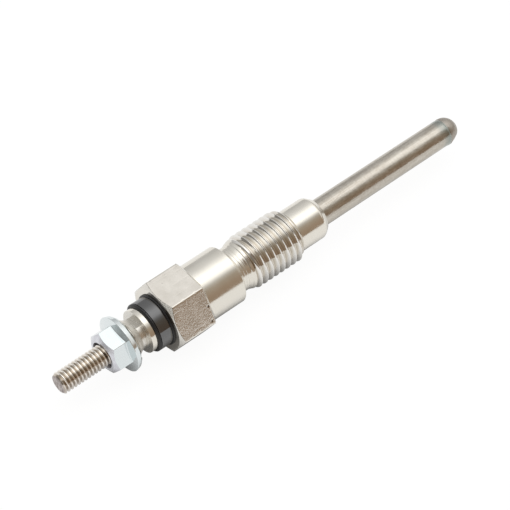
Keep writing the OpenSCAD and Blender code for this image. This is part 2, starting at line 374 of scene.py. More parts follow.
def thread_outline(crest_r, root_r, pitch, flat, crest, root):
    """One pitch of a thread as (phase, r), with rounded crest and root."""
    depth = crest_r - root_r
    flank = depth * math.tan(FLANK_ANGLE)
    corners = [
        (0, root_r, 0),
        ((pitch - flat) / 2 - flank, root_r, root),
        ((pitch - flat) / 2, crest_r, crest),
        ((pitch + flat) / 2, crest_r, crest),
        ((pitch + flat) / 2 + flank, root_r, root),
        (pitch, root_r, 0),
    ]
    points = soften(corners, steps=THREAD_STEPS)[:-1]
    middle = []
    for a, b in zip(points, np.roll(points, -1, axis=0)):
        middle.append(a)
        if abs(b[1] - a[1]) > depth / 3:
            middle += [a + (b - a) / 3, a + (b - a) * 2 / 3]
    points = np.array(middle)
    points[:, 0] /= pitch
    return points


class Shell:
    """A mesh that is put together from grids and welded where they meet."""

    def __init__(self):
        self.points = []
        self.faces = []
        self.zones = []
        self.materials = []
        self.count = 0

    def add(self, grid, material):
        """Quads of one material between the points of a grid."""
        if material not in self.materials:
            self.materials.append(material)
        rows, columns = grid.shape[:2]
        index = np.arange(rows * columns).reshape(rows, columns) + self.count
        quads = np.stack([index[:-1, :-1], index[:-1, 1:], index[1:, 1:], index[1:, :-1]], axis=-1)
        self.points.append(grid.reshape(-1, 3))
        self.faces.append(quads.reshape(-1, 4))
        self.zones.append(np.full(len(self.faces[-1]), self.materials.index(material)))
        self.count += rows * columns

    def build(self, name):
        """The object, with its normals."""
        mesh = bpy.data.meshes.new(name)
        mesh.from_pydata(np.concatenate(self.points).tolist(), [], np.concatenate(self.faces).tolist())
        for material in self.materials:
            mesh.materials.append(material)
        mesh.polygons.foreach_set("material_index", np.concatenate(self.zones).astype(np.int32))
        work = bmesh.new()
        work.from_mesh(mesh)
        bmesh.ops.remove_doubles(work, verts=work.verts, dist=2e-7)
        bmesh.ops.dissolve_degenerate(work, edges=work.edges, dist=1e-8)
        work.to_mesh(mesh)
        work.free()
        set_normals(mesh)
        piece = bpy.data.objects.new(name, mesh)
        bpy.context.scene.collection.objects.link(piece)
        return piece


def set_normals(mesh):
    """Corner normals weighted by face area, so flats stay flat and only small edges look round."""
    mesh.polygons.foreach_set("use_smooth", np.ones(len(mesh.polygons), bool))
    corners = len(mesh.loops)
    vertex = np.empty(corners, np.int32)
    mesh.loops.foreach_get("vertex_index", vertex)
    total = np.empty(len(mesh.polygons), np.int32)
    mesh.polygons.foreach_get("loop_total", total)
    area = np.empty(len(mesh.polygons))
    mesh.polygons.foreach_get("area", area)
    normal = np.empty(len(mesh.polygons) * 3)
    mesh.polygons.foreach_get("normal", normal)
    normal = normal.reshape(-1, 3)
    face = np.repeat(np.arange(len(mesh.polygons)), total)
    order = np.argsort(vertex, kind="stable")
    grouped = vertex[order]
    starts = np.searchsorted(grouped, grouped)
    sizes = np.searchsorted(grouped, grouped, side="right") - starts
    position = np.arange(corners) - starts
    own = normal[face[order]]
    summed = own * area[face[order]][:, None]
    limit = math.cos(SMOOTH_ANGLE)
    for shift in range(1, sizes.max()):
        wide = np.flatnonzero(sizes > shift)
        partner = face[order[starts[wide] + (position[wide] + shift) % sizes[wide]]]
        alike = np.einsum("ij,ij->i", own[wide], normal[partner]) > limit
        summed[wide] += normal[partner] * (area[partner] * alike)[:, None]
    result = np.empty_like(summed)
    result[order] = summed / np.maximum(np.linalg.norm(summed, axis=1), 1e-30)[:, None]
    mesh.normals_split_custom_set(result.tolist())


# Materials

class Nodes:
    """Builds a node tree."""

    def __init__(self, tree):
        self.tree = tree

    def add(self, kind, inputs=None, **settings):
        node = self.tree.nodes.new(kind)
        for key, value in settings.items():
            setattr(node, key, value)
        for key, value in (inputs or {}).items():
            if isinstance(value, bpy.types.NodeSocket):
                self.tree.links.new(value, node.inputs[key])
            else:
                node.inputs[key].default_value = value
        return node

    def math(self, operation, a, b=0.0, clamp=False):
        return self.add("ShaderNodeMath", {0: a, 1: b}, operation=operation, use_clamp=clamp).outputs[0]

    def between(self, value, low, high, to_low=0.0, to_high=1.0):
        inputs = {"Value": value, "From Min": low, "From Max": high, "To Min": to_low, "To Max": to_high}
        return self.add("ShaderNodeMapRange", inputs, interpolation_type="SMOOTHSTEP").outputs[0]

    def spread(self, value, low, high):
        """A number from low to high over the usual range of a noise."""
        return self.between(value, 0.3, 0.7, low, high)

    def weighted(self, *terms):
        """Sum of (value, weight) terms."""
        parts = [self.math("MULTIPLY", value, weight) for value, weight in terms]
        total = parts[0]
        for part in parts[1:]:
            total = self.math("ADD", total, part)
        return total

    def mix_value(self, factor, a, b):
        """Number a where factor is 0 and number b where factor is 1."""
        return self.add("ShaderNodeMix", {0: factor, 2: a, 3: b}, data_type="FLOAT").outputs[0]

    def ramp(self, value, stops):
        """A colour or grey ramp through (position, value) stops."""
        node = self.add("ShaderNodeValToRGB", {0: value})
        elements = node.color_ramp.elements
        while len(elements) < len(stops):
            elements.new(0.5)
        for element, (position, colour) in zip(elements, stops):
            element.position = position
            grey = not isinstance(colour, tuple)
            element.color = (colour, colour, colour, 1) if grey else (*colour, 1)
        return node.outputs[0]

    def mix(self, factor, a, b):
        """Colour a where factor is 0 and colour b where factor is 1."""
        node = self.add("ShaderNodeMix", data_type="RGBA")
        for socket, value in ((node.inputs[0], factor), (node.inputs[6], a), (node.inputs[7], b)):
            if isinstance(value, bpy.types.NodeSocket):
                self.tree.links.new(value, socket)
            else:
                socket.default_value = (*value, 1) if isinstance(value, tuple) else value
        return node.outputs[2]


class Surface(Nodes):
    """Builds one material round its principled shader."""

    def __init__(self, name):
        self.material = bpy.data.materials.new(name)
        self.material.use_nodes = True
        super().__init__(self.material.node_tree)
        self.shader = self.tree.nodes["Principled BSDF"]
        self.position = self.add("ShaderNodeTexCoord").outputs["Object"]
        self.axes = self.add("ShaderNodeSeparateXYZ", {0: self.position}).outputs

    def set(self, **values):
        """Values that are the same all over the surface, or links, on the shader's own sockets."""
        for key, value in values.items():
            socket = self.shader.inputs[key.replace("_", " ")]
            if isinstance(value, bpy.types.NodeSocket):
                self.tree.links.new(value, socket)
            else:
                socket.default_value = value

    def noise(self, scale, detail=2.0, stretch=(1, 1, 1), roughness=0.5):
        """Noise of a feature size of 1 / scale millimetres, drawn out along the axes by stretch."""
        shrink = {"Vector": self.position, "Scale": [1 / s for s in stretch]}
        vector = self.add("ShaderNodeMapping", shrink).outputs[0]
        inputs = {"Vector": vector, "Scale": scale / MM, "Detail": detail, "Roughness": roughness}
        return self.add("ShaderNodeTexNoise", inputs).outputs[0]

    def spots(self, scale, size):
        """One soft spot in each cell of 1 / scale millimetres: 1 in its middle and 0 outside."""
        inputs = {"Vector": self.position, "Scale": scale / MM}
        cells = self.add("ShaderNodeTexVoronoi", inputs).outputs[0]
        return self.ramp(cells, [(0.0, 1.0), (size, 0.0)])

    def radius(self):
        """Distance from the plug's axis, in millimetres."""
        y = self.math("MULTIPLY", self.axes["Y"], self.axes["Y"])
        z = self.math("MULTIPLY", self.axes["Z"], self.axes["Z"])
        return self.math("DIVIDE", self.math("SQRT", self.math("ADD", y, z)), MM)

    def station(self):
        """Distance along the plug's axis, in millimetres."""
        return self.math("DIVIDE", self.axes["X"], MM)

    def bump(self, height, depth, normal=None):
        """Surface relief of some depth in millimetres."""
        inputs = {"Height": height, "Distance": depth * MM, "Strength": 1.0}
        if normal is not None:
            inputs["Normal"] = normal
        return self.add("ShaderNodeBump", inputs).outputs[0]


def turned_nickel():
    """Bright warm nickel with fine rings left by the lathe."""
    n = Surface("turned_nickel")
    mottle = n.noise(0.5, 3)
    rings = n.noise(7.0, 3, stretch=(1, 60, 60))
    grain = n.noise(9.0, 2)
    dings = n.spots(0.45, 0.06)
    colour = n.mix(mottle, (0.725, 0.69, 0.615), (0.785, 0.755, 0.69))
    roughness = n.between(n.math("ADD", mottle, n.math("MULTIPLY", grain, 0.5)), 0.4, 1.1, 0.11, 0.21)
    height = n.math("SUBTRACT", grain, n.math("MULTIPLY", dings, 2.0))
    normal = n.bump(rings, 0.004, n.bump(height, 0.003))
    n.set(Base_Color=colour, Metallic=1.0, Roughness=roughness, Normal=normal)
    return n.material


def faced_nickel():
    """The smoother plating of the face that the insulator stands on."""
    n = Surface("faced_nickel")
    mottle = n.noise(0.6, 3)
    colour = n.mix(mottle, (0.70, 0.665, 0.60), (0.74, 0.71, 0.65))
    roughness = n.spread(mottle, 0.05, 0.09)
    n.set(Base_Color=colour, Metallic=1.0, Roughness=roughness, Normal=n.bump(n.noise(6.0), 0.001))
    return n.material


def satin_nickel():
    """Plating over a coarser cut, as on the hexagon's chamfers and the collar's waist."""
    n = Surface("satin_nickel")
    grain = n.noise(4.0, 3)
    colour = n.mix(grain, (0.69, 0.665, 0.61), (0.77, 0.745, 0.695))
    roughness = n.spread(grain, 0.24, 0.34)
    n.set(Base_Color=colour, Metallic=1.0, Roughness=roughness, Normal=n.bump(grain, 0.006))
    return n.material


def pressed_nickel():
    """Matt plating on the collar's flare, as it came from the press."""
    n = Surface("pressed_nickel")
    grain = n.noise(3.0, 3)
    colour = n.mix(grain, (0.80, 0.775, 0.72), (0.90, 0.88, 0.835))
    roughness = n.spread(grain, 0.42, 0.55)
    n.set(Base_Color=colour, Metallic=1.0, Roughness=roughness, Normal=n.bump(grain, 0.006))
    return n.material


def worn_edge():
    """Thin dark line of worn plating on the edges of the hexagon's chamfer."""
    n = Surface("worn_edge")
    wear = n.noise(2.5, 3)
    colour = n.ramp(wear, [(0.42, (0.10, 0.085, 0.07)), (0.62, (0.66, 0.62, 0.56))])
    roughness = n.spread(wear, 0.45, 0.2)
    n.set(Base_Color=colour, Metallic=1.0, Roughness=roughness, Normal=n.bump(wear, 0.02))
    return n.material


def threaded_nickel():
    """The same plating on the body thread, a little darker in the roots."""
    n = Surface("threaded_nickel")
    depth = n.between(n.radius(), THREAD_ROOT_R, THREAD_R)
    mottle = n.noise(0.8, 3)
    drag = n.noise(6.0, 3, stretch=(1, 12, 12))
    shade = n.math("ADD", depth, n.math("MULTIPLY", n.math("SUBTRACT", mottle, 0.5), 0.6), clamp=True)
    colour = n.mix(shade, (0.66, 0.62, 0.555), (0.80, 0.785, 0.75))
    roughness = n.spread(drag, 0.05, 0.11)
    n.set(Base_Color=colour, Metallic=1.0, Roughness=roughness, Normal=n.bump(drag, 0.008))
    return n.material


def edge_nicks(n):
    """Small dark nicks at the back edge of the hexagon's lower front flat."""
    ragged = n.math("MULTIPLY", n.noise(3.0, 2), NICK_RAGGED * MM)
    total = 0.0
    for inset, down in NICKS:
        y = -HEX_FLAT * math.sin(math.pi / 3) - down * math.cos(math.pi / 3)
        z = HEX_FLAT * math.cos(math.pi / 3) - down * math.sin(math.pi / 3)
        point = [(HEX_BACK - inset) * MM, y * MM, z * MM]
        away = n.add("ShaderNodeVectorMath", {0: n.position, 1: point}, operation="DISTANCE")
        reach = n.math("ADD", away.outputs["Value"], ragged)
        nick = n.between(reach, NICK_CORE * MM, NICK_EDGE * MM, 1.0, 0.0)
        total = n.math("ADD", nick, total)
    return total


def drawn_nickel():
    """Plating over drawn bar: a fine grain, faint scratches and a few pits on the hexagon's flats."""
    n = Surface("drawn_nickel")
    grain = n.noise(4.2, 3, roughness=0.6)
    draw = n.noise(7.0, 2, stretch=(30, 1, 1))
    mottle = n.noise(0.45, 3)
    scratch = n.ramp(n.noise(1.6, 1, stretch=(9, 1, 1)), [(0.66, 0.0), (0.70, 1.0)])
    pits = n.spots(0.34, 0.05)
    top = n.between(n.axes["Z"], 0.96 * HEX_FLAT * MM, 0.99 * HEX_FLAT * MM, 1.0, 0.2)
    speck = n.math("MULTIPLY", n.math("SUBTRACT", n.noise(5.0, 2), 0.5), top)
    tone = n.weighted((mottle, 0.4), (speck, 0.6))
    colour = n.mix(n.between(tone, 0.05, 0.35), (0.63, 0.595, 0.535), (0.775, 0.74, 0.68))
    pits = n.math("ADD", pits, edge_nicks(n), clamp=True)
    colour = n.mix(pits, colour, (0.16, 0.12, 0.09))
    roughness = n.spread(mottle, 0.07, 0.12)
    height = n.math("MULTIPLY", n.math("ADD", grain, n.math("MULTIPLY", draw, 0.2)), top)
    height = n.math("SUBTRACT", height, n.math("MULTIPLY", scratch, 0.3))
    height = n.math("SUBTRACT", height, n.math("MULTIPLY", pits, 2.0))
    n.set(Base_Color=colour, Metallic=1.0, Roughness=roughness, Normal=n.bump(height, 0.012))
    return n.material


def bright_zinc():
    """Zinc plating with a blue cast, slightly cloudy."""
    n = Surface("bright_zinc")
    cloud = n.noise(0.9, 4)
    grain = n.noise(8.0, 2)
    colour = n.mix(cloud, (0.68, 0.735, 0.745), (0.76, 0.80, 0.805))
    roughness = n.spread(cloud, 0.10, 0.17)
    n.set(Base_Color=colour, Metallic=1.0, Roughness=roughness, Normal=n.bump(grain, 0.002))
    return n.material


def dull_zinc_painted_shade():
    """The same plating on the nut's front face and chamfer, duller, with painted shade darkening its
    colour.
    """
    n = Surface("dull_zinc_painted_shade")
    cloud = n.noise(1.2, 4)
    # Painted shade: a darker, purple-grey colour than the bright zinc
    colour = n.mix(cloud, (0.56, 0.56, 0.60), (0.76, 0.77, 0.81))
    roughness = n.spread(cloud, 0.30, 0.2)
    n.set(Base_Color=colour, Metallic=1.0, Roughness=roughness, Normal=n.bump(cloud, 0.01))
    return n.material


def bore_painted_shade():
    """Dull steel of the nut's bore and countersinks, in a dark colour of painted shade."""
    n = Surface("bore_painted_shade")
    grain = n.noise(3.0, 3)
    # Painted shade: a dark colour where the bore and countersinks lie in shade
    colour = n.mix(grain, (0.14, 0.13, 0.135), (0.30, 0.28, 0.285))
    roughness = n.spread(grain, 0.5, 0.35)
    n.set(Base_Color=colour, Metallic=1.0, Roughness=roughness, Normal=n.bump(grain, 0.02))
    return n.material


def heat_steel():
    """Drawn heat-resistant tube: streaks, fine rings, a grey-green cast before the weld, a brown tip."""
    n = Surface("heat_steel")
    streak = n.noise(3.2, 3, stretch=(40, 1, 1))
    grain = n.noise(3.4, 3, stretch=(2.5, 1, 1), roughness=0.6)
    rings = n.noise(4.5, 2, stretch=(1, 9, 9))
    patch = n.noise(0.9, 3, stretch=(2.5, 1, 1))
    x = n.station()
    tone = n.weighted((streak, 0.3), (rings, 0.15), (patch, 0.25), (grain, 0.3))
    colour = n.mix(n.between(tone, 0.35, 0.65), (0.42, 0.38, 0.325), (0.58, 0.545, 0.485))
    tint = n.math("ADD", x, n.math("MULTIPLY", n.noise(0.8, 3), 1.5))
    tip = n.between(tint, WELD_X - 1.8, WELD_X + 0.5)
    colour = n.mix(tip, colour, (0.30, 0.32, 0.295))
    cap = n.between(x, WELD_X - 0.05, WELD_X + 0.15)
    colour = n.mix(cap, colour, (0.40, 0.368, 0.325))
    wear = n.weighted((patch, 0.6), (grain, 0.4))
    roughness = n.between(wear, 0.35, 0.65, 0.15, 0.27)
    roughness = n.math("ADD", roughness, n.math("MULTIPLY", cap, 0.2))
    height = n.math("ADD", grain, n.math("MULTIPLY", streak, 0.4))
    n.set(Base_Color=colour, Metallic=1.0, Roughness=roughness, Normal=n.bump(height, 0.016))
    return n.material


def stud_steel():
    """Rolled terminal thread: brown in the roots and bright on the crests, with painted shade darkening
    it towards its underside.
    """
    n = Surface("stud_steel")
    depth = n.between(n.radius(), STUD_ROOT_R, STUD_R)
    mottle = n.noise(1.2, 3)
    drag = n.noise(8.0, 3, stretch=(1, 8, 8))
    shade = n.math("ADD", depth, n.math("MULTIPLY", n.math("SUBTRACT", mottle, 0.5), 0.7), clamp=True)
    colour = n.mix(shade, (0.46, 0.40, 0.33), (0.87, 0.83, 0.77))
    # Painted shade: the colour turns darker brown towards the stud's underside
    painted_underside_shade = n.between(n.axes["Z"], 0.0, 0.65 * STUD_R * MM, 0.58, 0.0)
    colour = n.mix(painted_underside_shade, colour, (0.34, 0.295, 0.26))
    roughness = n.spread(drag, 0.09, 0.17)
    n.set(Base_Color=colour, Metallic=1.0, Roughness=roughness, Normal=n.bump(drag, 0.006))
    return n.material


def cropped_steel():
    """Torn grey face where the stud was cropped."""
    n = Surface("cropped_steel")
    tear = n.noise(2.4, 4, stretch=(1, 1, 2.5), roughness=0.65)
    colour = n.ramp(tear, [(0.3, (0.24, 0.20, 0.185)), (0.7, (0.60, 0.55, 0.53))])
    roughness = n.spread(tear, 0.55, 0.38)
    n.set(Base_Color=colour, Metallic=1.0, Roughness=roughness, Normal=n.bump(tear, 0.05))
    return n.material


def black_phenolic():
    """Glossy black moulding with faint marks of handling."""
    n = Surface("black_phenolic")
    cloud = n.noise(0.55, 3)
    scuff = n.noise(3.0, 3, stretch=(1, 6, 6))
    colour = n.mix(cloud, (0.002, 0.002, 0.003), (0.006, 0.006, 0.007))
    roughness = n.between(n.math("ADD", cloud, n.math("MULTIPLY", scuff, 0.6)), 0.6, 1.0, 0.01, 0.04)
    handled = n.between(n.station(), INSULATOR_FRONT + LIP_LEN, HEX_FRONT - RIM_LEN, 0.04, 0.0)
    roughness = n.math("ADD", roughness, handled)
    n.set(Base_Color=colour, Metallic=0.0, Roughness=roughness, Normal=n.bump(scuff, 0.004), IOR=2.2)
    return n.material


def matt_phenolic():
    """The same moulding where it isn't polished."""
    n = Surface("matt_phenolic")
    grain = n.noise(5.0, 3)
    colour = n.mix(grain, (0.006, 0.006, 0.007), (0.014, 0.014, 0.015))
    roughness = n.spread(grain, 0.38, 0.55)
    n.set(Base_Color=colour, Roughness=roughness, Normal=n.bump(grain, 0.008))
    return n.material


def seal_rubber():
    """Matt black rubber."""
    n = Surface("seal_rubber")
    grain = n.noise(6.0, 3)
    colour = n.mix(grain, (0.018, 0.018, 0.018), (0.045, 0.045, 0.045))
    roughness = n.spread(grain, 0.6, 0.8)
    n.set(Base_Color=colour, Roughness=roughness, Normal=n.bump(grain, 0.02))
    return n.material


def resistance_wire():
    """Drawn wire, slightly oxidised in patches."""
    n = Surface("resistance_wire")
    patch = n.noise(1.5, 3)
    colour = n.mix(patch, (0.30, 0.26, 0.23), (0.52, 0.48, 0.44))
    roughness = n.spread(patch, 0.45, 0.28)
    n.set(Base_Color=colour, Metallic=1.0, Roughness=roughness)
    return n.material


def packed_magnesia():
    """Off-white powder, swaged hard."""
    n = Surface("packed_magnesia")
    grain = n.noise(9.0, 4, roughness=0.7)
    colour = n.mix(grain, (0.74, 0.71, 0.65), (0.90, 0.88, 0.83))
    roughness = n.spread(grain, 0.75, 0.95)
    n.set(Base_Color=colour, Roughness=roughness, Normal=n.bump(grain, 0.03))
    return n.material


# Pieces

def place(piece, node):
    """A piece rides on the root, in place of a CAD node, which it hides."""
    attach(piece, "root")
    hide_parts(node)


def dint_corners(grid, angles):
    """Small dints along the hexagon's six edges."""
    offset = np.abs((angles + math.pi / 6) % (math.pi / 3) - math.pi / 6)
    sharp = np.exp(-(offset / DINT_SPREAD) ** 2)
    for column in np.flatnonzero(sharp > 0.05):
        sector = round(angles[column] / (math.pi / 3)) % 6
        for row in range(grid.shape[0]):
            point = grid[row, column]
            dint = noise.noise(Vector((point[0] / MM * DINT_SCALE, sector * 5.3, 2.1)))
            dint = max(0.0, dint - DINT_LEVEL) * DINT_DEPTH * sharp[column]
            point[1:] *= 1 - dint * MM / max(np.hypot(point[1], point[2]), MM)
    return grid


def hexagon(angles, flat_row):
    """Grid from the counterbore over the hexagon to the shank, with more rows after flat_row."""
    along = np.linspace(0, 1, FLAT_ROWS + 2)[1:-1, None]
    outlines = []
    for r in hex_radius(angles, HEX_FLAT, HEX_CORNER):
        back_r = min(HEX_BACK_R, r - BACK_EDGE)
        back_edge = max(BACK_EDGE, (r - back_r) * HEX_CHAMFER)
        outline = soften([
            (COUNTERBORE_END, COUNTERBORE_R, 0),
            (HEX_FRONT, COUNTERBORE_R, 0.1),
            (HEX_FRONT, HEX_FACE_R, 0.08),
            (HEX_FRONT + (r - HEX_FACE_R) * HEX_CHAMFER, r, 0.07),
            (HEX_BACK - back_edge, r, 0.06),
            (HEX_BACK, back_r, 0.08),
            (HEX_BACK, SHANK_R, 0),
        ])
        before, after = outline[:flat_row + 1], outline[flat_row + 1:]
        flat = before[-1] + along * (after[0] - before[-1])
        outlines.append(np.vstack([before, flat, after]))
    return dint_corners(sweep(outlines, angles), angles)


def thread_limit(x):
    """Greatest radius of the body at x: cones run the thread in from the relief and out to the pilot."""
    run_in = RELIEF_R + (x + RUN_IN) * (THREAD_R - RELIEF_R) / (RUN_IN + RUN_IN_END)
    run_out = PILOT_R + (PILOT_X - x)
    return np.minimum(np.minimum(run_in, run_out), THREAD_R)


def thread_least(x):
    """Least radius of the body at x: the groove gets its depth in a short ramp on the run-in cone."""
    return thread_limit(x) - np.clip((x - THREAD_X) / THREAD_RAMP, 0, 1) * THREAD_R


def shank_outline():
    """From the hexagon's back over the shank and the relief to the start of the thread."""
    return soften([
        (HEX_BACK, SHANK_R, 0),
        (SHANK_END, SHANK_R, 0.12),
        (SHANK_END + SHANK_CONE, RELIEF_R, 0.12),
        *ring_marks(RING_MARKS, lambda x: RELIEF_R),
        (-RUN_IN, RELIEF_R, 0.1),
        *ring_marks(CONE_MARKS, thread_limit),
        (THREAD_X, float(thread_limit(THREAD_X)), 0),
    ])


def pilot_outline():
    """From the end of the thread over the pilot and the seat cone into the tube's bore."""
    return soften([
        (PILOT_X, PILOT_R, 0),
        (PILOT_END - SEAT_LEN, PILOT_R, SEAT_ROUND),
        (PILOT_END + SEAT_LIP, SEAT_R, 0.2),
        (PILOT_END + SEAT_LIP, TUBE_BORE_R, 0.05),
        (TUBE_MOUTH, TUBE_BORE_R, 0),
    ])


def make_housing(nickel, satin):
    """Hexagon, shank, relief, body thread, pilot and seat cone, with the bores that hold the rest."""
    angles = hex_columns()
    edge_row = 1 + 2 * ARC_POINTS
    flat_row = 3 * ARC_POINTS
    back_row = flat_row + FLAT_ROWS + 1
    grid = hexagon(angles, flat_row)
    outline = thread_outline(THREAD_R, THREAD_ROOT_R, PITCH, CREST_WIDTH, CREST_ROUND, ROOT_ROUND)
    bounds = (thread_limit, thread_least)
    thread = thread_grid(angles, THREAD_X, PILOT_X, PITCH, THREAD_START, outline, *bounds)
    bore = np.array([
        (TUBE_MOUTH, TUBE_BORE_R),
        (TUBE_MOUTH, ROD_CLEAR_R),
        (COUNTERBORE_END, ROD_CLEAR_R),
        (COUNTERBORE_END, COUNTERBORE_R),
    ])
    shell = Shell()
    shell.add(grid[:edge_row], faced_nickel())
    shell.add(grid[edge_row - 1:edge_row + 1], satin)
    shell.add(grid[edge_row:flat_row + 1], worn_edge())
    shell.add(grid[flat_row:back_row + 1], drawn_nickel())
    shell.add(grid[back_row:], satin)
    shell.add(revolve(shank_outline(), angles), nickel)
    shell.add(thread, threaded_nickel())
    shell.add(revolve(pilot_outline(), angles), nickel)
    shell.add(revolve(bore, angles), nickel)
    place(shell.build("plated_housing"), "housing")


def make_heater_tube():
    """Closed tube, slightly tapered, with a weld crease, a small nib of weld and a dented tip."""
    angles = round_columns(TUBE_COLUMNS)
    groove = np.linspace(-1, 1, WELD_ROWS)
    crease = WELD_DEPTH * np.cos(groove * math.pi / 2) ** 2
    weld = [(WELD_X + g * WELD_HALF, TIP_R - c) for g, c in zip(groove, crease)]
    dome_x = WELD_X + WELD_HALF
    reach = TIP_END - dome_x
    climb = np.linspace(0.08, math.pi / 2, DOME_ROWS)
    dome = [(dome_x + reach * math.sin(a), TIP_R * math.cos(a)) for a in climb]
    outline = np.array([
        (TUBE_MOUTH, TUBE_R - TUBE_WALL),
        (TUBE_MOUTH, TUBE_R),
        (PILOT_END, TUBE_R),
        (TAPER_END, TIP_R),
        (UPSET_X, TIP_R + UPSET_RISE),
        *weld,
        *dome,
    ])
    inside = np.array([
        (WELD_X, 0.0),
        (WELD_X, TUBE_R - TUBE_WALL),
        (TUBE_MOUTH, TUBE_R - TUBE_WALL),
    ])
    grid = revolve(outline, angles)
    x = grid[..., 0] / MM
    around = (np.arctan2(grid[..., 2], grid[..., 1]) - NIB_ANGLE + math.pi) % TURN - math.pi
    nib = NIB_RISE * np.exp(-((x - WELD_X) / NIB_LEN) ** 2 - (around * TIP_R / NIB_WIDTH) ** 2)
    dent = DENT_DEPTH * np.exp(-((x - DENT_X) / DENT_LEN) ** 2 - (around / DENT_TURN) ** 2)
    grid[..., 1:] *= 1 + ((nib - dent) / TIP_R)[..., None]
    steel = heat_steel()
    shell = Shell()
    shell.add(grid, steel)
    shell.add(revolve(inside, angles), steel)
    place(shell.build("sheath_tube"), "heater_tube")


def stud_limit(x):
    """Greatest radius of the stud at x: a bevel at the cropped end and a cone down to the rod."""
    bevel = STUD_FACE_R + (x - STUD_END)
    run_out = ROD_R + np.maximum(COLLAR_FRONT - x, 0) * RUN_OUT_SLOPE
    return np.minimum(np.minimum(bevel, STUD_R), run_out)


def torn_face(rim, angles):
    """Grid of the stud's cropped end, from the axis out to its rim."""
    shares = np.linspace(0, 1, FACE_RINGS)[:, None]
    face = np.empty((len(shares), len(angles), 3))
    face[..., 0] = STUD_END * MM
    face[..., 1] = shares * rim * np.cos(angles)
    face[..., 2] = shares * rim * np.sin(angles)
    for row, share in zip(face[:-1], shares[:, 0]):
        for point in row:
            coarse = noise.noise(Vector((3.1, *(point[1:] / MM * TEAR_COARSE_SCALE))))
            fine = noise.noise(Vector((7.7, *(point[1:] / MM * TEAR_FINE_SCALE))))
            tear = TEAR_COARSE * coarse + TEAR_FINE * fine - TEAR_DISH * (1 - share)
            point[0] += tear * MM
    face[:-1, -1] = face[:-1, 0]
    return face


def make_electrode():
    """Rod with a rolled thread and a torn, cropped end."""
    angles = round_columns(STUD_COLUMNS)
    rounding = (STUD_CREST_ROUND, STUD_ROOT_ROUND)
    outline = thread_outline(STUD_R, STUD_ROOT_R, STUD_PITCH, STUD_CREST, *rounding)
    bounds = (stud_limit, np.zeros_like)
    thread = thread_grid(angles, STUD_END, COLLAR_FRONT, STUD_PITCH, STUD_START, outline, *bounds)
    rim = np.hypot(thread[0, :, 1], thread[0, :, 2])
    end = np.stack([thread[-1], polar(COLLAR_FRONT, ROD_R, angles)])
    rod = soften([
        (COLLAR_FRONT, ROD_R, 0),
        (ROD_NECK - (ROD_R - ROD_END_R), ROD_R, 0.1),
        (ROD_NECK, ROD_END_R, 0.1),
        (ROD_END, ROD_END_R, 0.05),
        (ROD_END, 0.0, 0),
    ])
    steel = stud_steel()
    shell = Shell()
    shell.add(torn_face(rim, angles), cropped_steel())
    shell.add(thread, steel)
    shell.add(end, steel)
    shell.add(revolve(rod, angles), steel)
    place(shell.build("terminal_stud"), "centre_electrode")


def make_insulator():
    """Black bushing with a matt lip, a narrow groove, a glossy barrel and a matt rim."""
    lip_x = INSULATOR_FRONT + LIP_LEN
    rim_x = HEX_FRONT - RIM_LEN
    groove_r = BARREL_R - LIP_GROOVE
    lip = soften([
        (SPIGOT_END, ROD_HOLE_R, 0),
        (INSULATOR_FRONT, ROD_HOLE_R, 0.1),
        (INSULATOR_FRONT, BARREL_R - LIP_BEVEL, 0.06),
        (INSULATOR_FRONT + LIP_BEVEL, BARREL_R, 0.08),
        (lip_x, BARREL_R, 0.05),
        (lip_x, groove_r, 0),
    ])
    barrel = soften([
        (lip_x, groove_r, 0),
        (lip_x + LIP_GROOVE / 2, groove_r, 0.03),
        (lip_x + LIP_GROOVE, BARREL_R, 0.08),
        (rim_x, BARREL_R, 0.1),
        (rim_x, BARREL_R - RIM_GROOVE, 0),
    ])
    rim = soften([
        (rim_x, BARREL_R - RIM_GROOVE, 0),
        (rim_x + RIM_GROOVE, RIM_R, 0.12),
        (HEX_FRONT, RIM_R, 0.05),
        (HEX_FRONT, SPIGOT_R, 0.1),
        (SPIGOT_END, SPIGOT_R, 0.15),
        (SPIGOT_END, ROD_HOLE_R, 0),
    ])
    angles = round_columns(INSULATOR_COLUMNS)
    matt = matt_phenolic()
    shell = Shell()
    shell.add(revolve(lip, angles), matt)
    shell.add(revolve(barrel, angles), black_phenolic())
    shell.add(revolve(rim, angles), matt)
    place(shell.build("insulator"), "insulator_bushing")


def make_collar(nickel, satin):
    """Spool with a flared front, a waist with two pressed flats, and a ring on the insulator."""
    angles = round_columns(COLLAR_COLUMNS)
    ring_x = COLLAR_BACK - RING_LEN
    waist_x = ring_x - WAIST_LEN
    outlines = []
    for angle in angles:
        facing = abs(math.cos(angle - CRIMP_ANGLE))
        waist_r = min(WAIST_R, CRIMP_FLAT / max(facing, 0.1))
        outlines.append(soften([
            (COLLAR_BACK, ROD_HOLE_R, 0.05),
            (COLLAR_FRONT, ROD_HOLE_R, 0.15),
            (COLLAR_FRONT, FLARE_R, 0.04),
            (COLLAR_FRONT + FLARE_EDGE, FLARE_R, 0.04),
            (COLLAR_FRONT + FLARE_NECK, FLARE_NECK_R, 0.25),
            (waist_x + CRIMP_LIP, WAIST_R + CRIMP_LIP_RISE, 0.03),
            (waist_x + CRIMP_STEP, waist_r, 0.03),
            (ring_x, waist_r, 0.08),
            (ring_x, RING_R, 0.06),
            (COLLAR_BACK, RING_R, 0.06),
        ], closed=True))
    grid = sweep(outlines, angles)
    flare_row = 3 * ARC_POINTS - 1
    waist_row = 6 * ARC_POINTS - 1
    ring_row = 8 * ARC_POINTS
    shell = Shell()
    shell.add(grid[flare_row:waist_row + 1], pressed_nickel())
    shell.add(grid[waist_row:ring_row + 1], satin)
    shell.add(np.concatenate([grid[ring_row:], grid[:flare_row + 1]]), nickel)
    place(shell.build("crimp_collar"), "terminal_collar")


